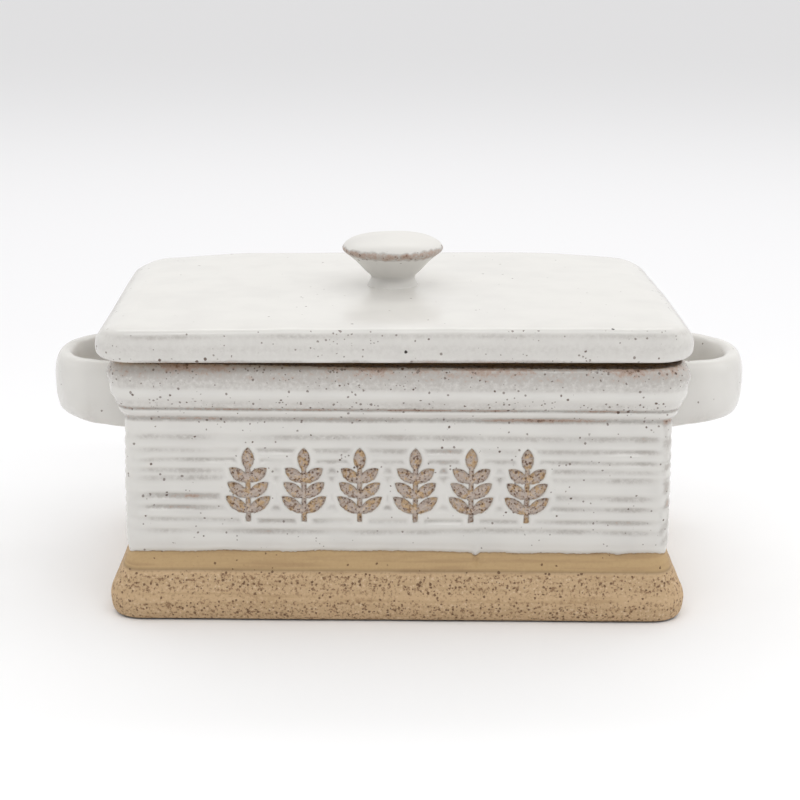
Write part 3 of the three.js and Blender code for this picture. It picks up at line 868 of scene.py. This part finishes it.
def make_lid_slab(material):
    outline = Outline(
        LID_HALF_LENGTH - LID_CORNER_RADIUS, LID_HALF_DEPTH - LID_CORNER_RADIUS, 1.2, 22
    )
    underside = -np.array([50.0, 30.0, 12.0, 5.0, 2.6])
    edge_heights = spaced(0.0, 1.5, 0.15, 6.5, 0.5, LID_EDGE_THICKNESS, 0.14)
    front_edge = smooth_profile(LID_FRONT_EDGE, edge_heights)[:, None]
    end_edge = smooth_profile(LID_END_EDGE, edge_heights)[:, None]
    edge = front_edge + (end_edge - front_edge) * outline.normal_x**2
    insets = -spaced(9.4, 16.0, 0.7, LID_HALF_DEPTH - 6.0, 1.4)
    size = len(outline.normal_x)
    offsets = np.concatenate([
        np.repeat(underside[:, None], size, axis=1), edge, np.repeat(insets[:, None], size, axis=1)
    ])
    heights = np.concatenate([
        np.zeros(len(underside)), edge_heights, np.full(len(insets), LID_EDGE_THICKNESS)
    ])
    rings = offset_rings(
        outline, LID_HALF_LENGTH, LID_HALF_DEPTH, LID_CORNER_RADIUS, offsets, heights
    )
    x, y = rings[..., 0], rings[..., 1]
    share = smoothstep(3.0, LID_EDGE_THICKNESS, heights)[:, None]
    # The rounded edge meets the flat top without a crease.
    settle_in = 0.25 * np.exp(-np.maximum(-offsets - 5.6, 0.0) / 4.0)
    rings[..., 2] += share * (lid_top(x, y) - settle_in + 0.06 * ripple(rings, 55.0, 71))
    edge_wave = share * smoothstep(-9.0, -4.0, offsets)
    rings += 0.04 * ripple(rings, 16.0, 72)[..., None] * edge_wave[..., None]
    side_wave = 0.14 * ripple(rings, 55.0, 73) * smoothstep(0.0, 1.5, heights)[:, None]
    rings[..., 0] += side_wave * outline.normal_x
    rings[..., 1] += side_wave * outline.normal_y
    on_top = (heights > 9.0)[:, None]
    # Painted shade: the slab's side below the arris is greyed, most about 4 mm up.
    on_edge = smoothstep(8.9, 7.9, heights) * (1.0 + 0.6 * bell(heights, 4.0, 1.4))
    broken = 0.22 * bell(heights, 0.4, 0.6)[:, None] * (1.0 + ripple(rings, 20.0, 74))
    # Painted shade: a grey band just under the arris, about 7.5 mm up the edge.
    shade_under_arris = bell(heights, 7.5, 0.7)[:, None] * (1.0 + 0.4 * ripple(rings, 24.0, 75))
    thin = broken + 0.13 * on_edge[:, None] + 0.12 * shade_under_arris
    fields = surface_fields(
        rings.shape[:2],
        bare=np.where(heights[:, None] < 0.01, -offsets - 2.0, -5.0),
        thin=np.maximum(thin, 0.0),
        specks=np.where(on_top, -0.24, 0.42),
    )
    return piece_from_rings("lid_slab_glazed", settle(rings), fields, material)


def make_lid_flange(material):
    half_x = (flange_high[0] - flange_low[0]) / 2
    half_y = (flange_high[1] - flange_low[1]) / 2
    depth = flange_high[2] - flange_low[2]
    outline = Outline(half_x - FLANGE_CORNER_RADIUS, half_y - FLANGE_CORNER_RADIUS, 1.5, 16)
    section = [
        (0.0, FLANGE_SUNK),
        (0.0, -depth + 2.0),
        (-0.35, -depth + 0.8),
        (-1.2, -depth + 0.1),
        (-FLANGE_THICKNESS + 1.3, -depth),
        (-FLANGE_THICKNESS + 0.4, -depth + 0.6),
        (-FLANGE_THICKNESS, -depth + 1.8),
        (-FLANGE_THICKNESS, FLANGE_SUNK),
        (0.0, FLANGE_SUNK),
    ]
    offsets, heights = np.array(section).T
    dense = np.linspace(0, len(section) - 1, 41)
    whole = np.arange(len(section))
    offsets = np.interp(dense, whole, offsets)
    heights = np.interp(dense, whole, heights)
    rings = offset_rings(outline, half_x, half_y, FLANGE_CORNER_RADIUS, offsets[:, None], heights)
    rings += 0.06 * ripple(rings, 12.0, 81)[..., None]

    # The section is closed, so the last ring is the first again and the faces run round to it.
    body = settle(rings[:-1])
    levels, size, _ = body.shape
    low = np.arange(levels * size).reshape(levels, size)
    high = np.roll(low, -1, axis=0)
    quads = np.stack([low, high, np.roll(high, -1, axis=1), np.roll(low, -1, axis=1)], axis=-1)
    faces = quads.reshape(-1, 4).tolist()
    fields = surface_fields((levels, size), bare=5.0, grain=0.8, residue=-0.5)
    piece = add_piece("lid_flange_ring", body, faces, fields, material)
    return piece


DOME_SHOULDER = 0.62         # exponents of the dome's outline: a full shoulder and a flat top
DOME_SPRING = 1.15


def make_knob(material):
    height = knob_high[2] - knob_low[2]
    radius = (knob_high[0] - knob_low[0]) / 2
    rim = height * KNOB_RIM_SHARE
    top_of_rim = rim + 0.15
    side = (
        (-0.5, 8.5),
        (0.0, 8.1),
        (0.6, 7.7),
        (1.3, 7.3),
        (2.1, 6.95),
        (2.8, 6.8),
        (3.5, 7.15),
        (4.4, 8.2),
        (8.0, radius - 4.0),
        (10.3, radius - 1.3),
        (rim - 0.5, radius - 0.3),
        (top_of_rim, radius),
    )
    side_heights = np.concatenate([np.arange(-0.5, 5.0, 0.25), np.arange(5.0, rim + 0.16, 0.22)])
    side_radii = smooth_profile(side, side_heights)
    dome_turn = np.linspace(0.0, math.pi / 2, 34)[1:-1]
    dome_radii = radius * np.cos(dome_turn) ** DOME_SHOULDER
    dome_heights = top_of_rim + (height - top_of_rim) * np.sin(dome_turn) ** DOME_SPRING
    heights = np.concatenate([side_heights, dome_heights])
    radii = np.concatenate([side_radii, dome_radii])
    around = np.linspace(0, 2 * math.pi, 160, endpoint=False)
    x = radii[:, None] * np.cos(around)
    y = radii[:, None] * np.sin(around)
    z = np.broadcast_to(heights[:, None], x.shape)
    rings = np.stack([x, y, z], axis=-1)
    wobble = 1.0 + 0.008 * ripple(rings, 30.0, 91)
    rings[..., 0] *= wobble
    rings[..., 1] *= wobble
    rings[..., 2] += 0.10 * ripple(rings, 22.0, 92)
    rings[..., 2] += LID_EDGE_THICKNESS + lid_top(0.0, 0.0) - KNOB_SUNK

    # The glaze has broken to pinkish brown in a ragged band around the rim.
    uneven = heights[:, None] + 0.22 * ripple(rings, 9.0, 93) + 0.18 * ripple(rings, 2.6, 94)
    arris = smoothstep(rim - 2.2, rim - 1.1, uneven) * smoothstep(rim + 1.5, rim + 0.5, uneven)
    broken = 0.66 * arris * (1.0 + 0.10 * ripple(rings, 4.0, 95))
    # Painted shade: grey round the knob's waist, under its wider cone.
    neck_shade = 0.12 * bell(heights, 2.8, 1.0)[:, None]
    fields = surface_fields(
        rings.shape[:2],
        thin=np.clip(broken + neck_shade, 0.0, 1.1),
        specks=2.6 * bell(heights, rim - 0.6, 1.4)[:, None],
    )
    return piece_from_rings("lid_knob_glazed", settle(rings), fields, material)


# ---- Stage, light and camera ---------------------------------------------------------------


# Painted light: the floor is coloured lighter in front of the crock and darker behind it.
FLOOR_NEAR = (0.955, 0.955, 0.962)
FLOOR_FAR = (0.905, 0.905, 0.922)
FLOOR_REACH = 12.0           # metres from the middle to each side


def make_floor():
    shader = Shader("floor_paper")
    place = shader.node("ShaderNodeSeparateXYZ")
    shader.put(place.inputs[0], shader.position)
    # Painted light: lighter near the crock's front, darker going back.
    depth = shader.step(place.outputs["Y"], -0.08, 0.40)
    unevenness = shader.math("MULTIPLY", shader.noise(400.0, 1.0), 0.15)
    tone = shader.mix(shader.math("ADD", depth, unevenness, clamp=True), FLOOR_NEAR, FLOOR_FAR)
    shader.put(shader.principled.inputs["Base Color"], tone)
    shader.principled.inputs["Roughness"].default_value = 0.9
    shader.principled.inputs["Specular IOR Level"].default_value = 0.2
    mesh = bpy.data.meshes.new("studio_floor")
    reach = FLOOR_REACH
    corners = [(-reach, -reach, 0), (reach, -reach, 0), (reach, reach, 0), (-reach, reach, 0)]
    mesh.from_pydata(corners, [], [(0, 1, 2, 3)])
    mesh.materials.append(shader.material)
    floor = bpy.data.objects.new("studio_floor", mesh)
    bpy.context.scene.collection.objects.link(floor)


ROOM_FRONT = 0.43
ROOM_BACK = 0.97


def area_light(name, place, aim, size, power):
    data = bpy.data.lights.new(name, "AREA")
    data.shape = "RECTANGLE"
    data.size, data.size_y = size
    data.energy = power
    light = bpy.data.objects.new(name, data)
    light.location = place
    light.rotation_euler = (Vector(aim) - Vector(place)).to_track_quat("-Z", "Y").to_euler()
    bpy.context.scene.collection.objects.link(light)


def white_room():
    """A pale room, bright overhead and behind the crock and dimmer behind the camera."""
    world = bpy.data.worlds.new("white_room")
    world.use_nodes = True
    tree = world.node_tree
    background = tree.nodes["Background"]
    direction = tree.nodes.new("ShaderNodeTexCoord").outputs["Generated"]
    parts = tree.nodes.new("ShaderNodeSeparateXYZ")
    tree.links.new(direction, parts.inputs[0])
    depth = tree.nodes.new("ShaderNodeMapRange")
    depth.interpolation_type = "SMOOTHSTEP"
    tree.links.new(parts.outputs["Y"], depth.inputs["Value"])
    depth.inputs["From Min"].default_value = -0.85
    depth.inputs["From Max"].default_value = 0.15
    depth.inputs["To Min"].default_value = ROOM_FRONT
    depth.inputs["To Max"].default_value = ROOM_BACK
    tree.links.new(depth.outputs["Result"], background.inputs["Strength"])
    background.inputs["Color"].default_value = (1.0, 0.995, 0.985, 1.0)
    bpy.context.scene.world = world


def light_studio():
    white_room()
    crock_middle = (0.0, 0.0, 0.04)
    area_light("overhead_strip", (0.0, 0.75, 0.98), crock_middle, (1.6, 0.25), 2.4)
    area_light("front_softbox", (0.05, -0.62, 0.85), (0.0, -0.22, 0.0), (1.3, 0.20), 3.2)
    area_light("right_softbox", (1.10, -0.05, 0.60), crock_middle, (0.6, 0.6), 0.9)


# The photographed view: an 85 mm lens a little over half a metre from the crock.
CAMERA_PLACE = (0.00045, -0.5756, 0.2072)
CAMERA_PITCH = math.radians(-15.09)
CAMERA_ROLL = math.radians(0.4)
CAMERA_LENS = 85.0


def add_camera():
    data = bpy.data.cameras.new("camera")
    data.sensor_width = 36.0
    data.lens = CAMERA_LENS
    data.clip_start = 0.01
    camera = bpy.data.objects.new("camera", data)
    turn = Matrix.Rotation(math.pi / 2 + CAMERA_PITCH, 4, "X") @ Matrix.Rotation(CAMERA_ROLL, 4, "Z")
    camera.matrix_world = Matrix.Translation(CAMERA_PLACE) @ turn
    bpy.context.scene.collection.objects.link(camera)
    bpy.context.scene.camera = camera
    bpy.context.scene.view_settings.view_transform = "Standard"


# ---- Assembly ------------------------------------------------------------------------------

vessel_material = ceramic_material("stoneware_vessel_glaze", 0.36, 0.15)
handle_material = ceramic_material("stoneware_handle_glaze", 0.08, 0.20)
lid_material = ceramic_material("stoneware_lid_glaze", 0.28, 0.20)
knob_material = ceramic_material("stoneware_knob_glaze", 0.02, 0.36)

vessel = make_vessel(vessel_material)
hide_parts("crock_body")
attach(vessel, "crock")

left_strap = make_handle("left_strap_handle", -1, handle_material)
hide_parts("left_handle")
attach(left_strap, "crock")

right_strap = make_handle("right_strap_handle", 1, handle_material)
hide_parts("right_handle")
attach(right_strap, "crock")

lid_slab = make_lid_slab(lid_material)
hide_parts("lid_slab")
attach(lid_slab, "lid")

flange_ring = make_lid_flange(lid_material)
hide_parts("lid_flange")
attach(flange_ring, "lid")

knob = make_knob(knob_material)
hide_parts("lid_knob")
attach(knob, "lid")

make_floor()
light_studio()
add_camera()
